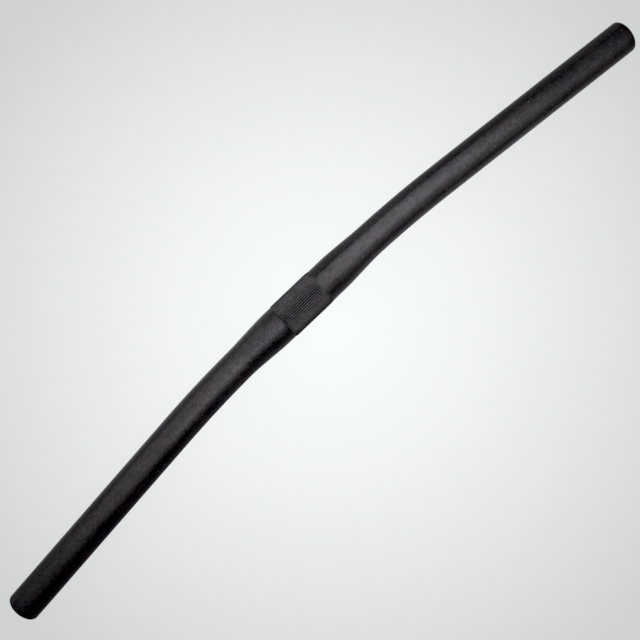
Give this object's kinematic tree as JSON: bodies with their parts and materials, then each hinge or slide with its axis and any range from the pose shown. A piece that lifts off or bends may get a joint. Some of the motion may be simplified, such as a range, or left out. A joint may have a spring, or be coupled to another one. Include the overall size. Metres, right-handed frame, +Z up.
{
  "type": "flat handlebar",
  "caption": "Flat bicycle handlebar: a gently swept-back tube, thicker and straight-knurled in the middle for the stem, with open round ends for grips.",
  "frame": {"origin": "centre of the bounding box's base, on the table that the bar rests on", "axes": "+X along the bar towards the rider's right-hand end, +Y forward, the convex side of the bend (both ends sweep back to -Y), +Z up from the table. The bar lies as it rests, on its thick middle and the undersides of both ends, so the plane of its bend is turned 6.24 degrees about X from level, the ends low."},
  "size_m": [0.5514, 0.0424, 0.0262],
  "materials": {
    "satin_black_alloy": "satin black, fine bead-blasted and anodised look"
  },
  "bodies": {
    "root": {"handlebar_tube": "satin_black_alloy"}
  },
  "joints": []
}
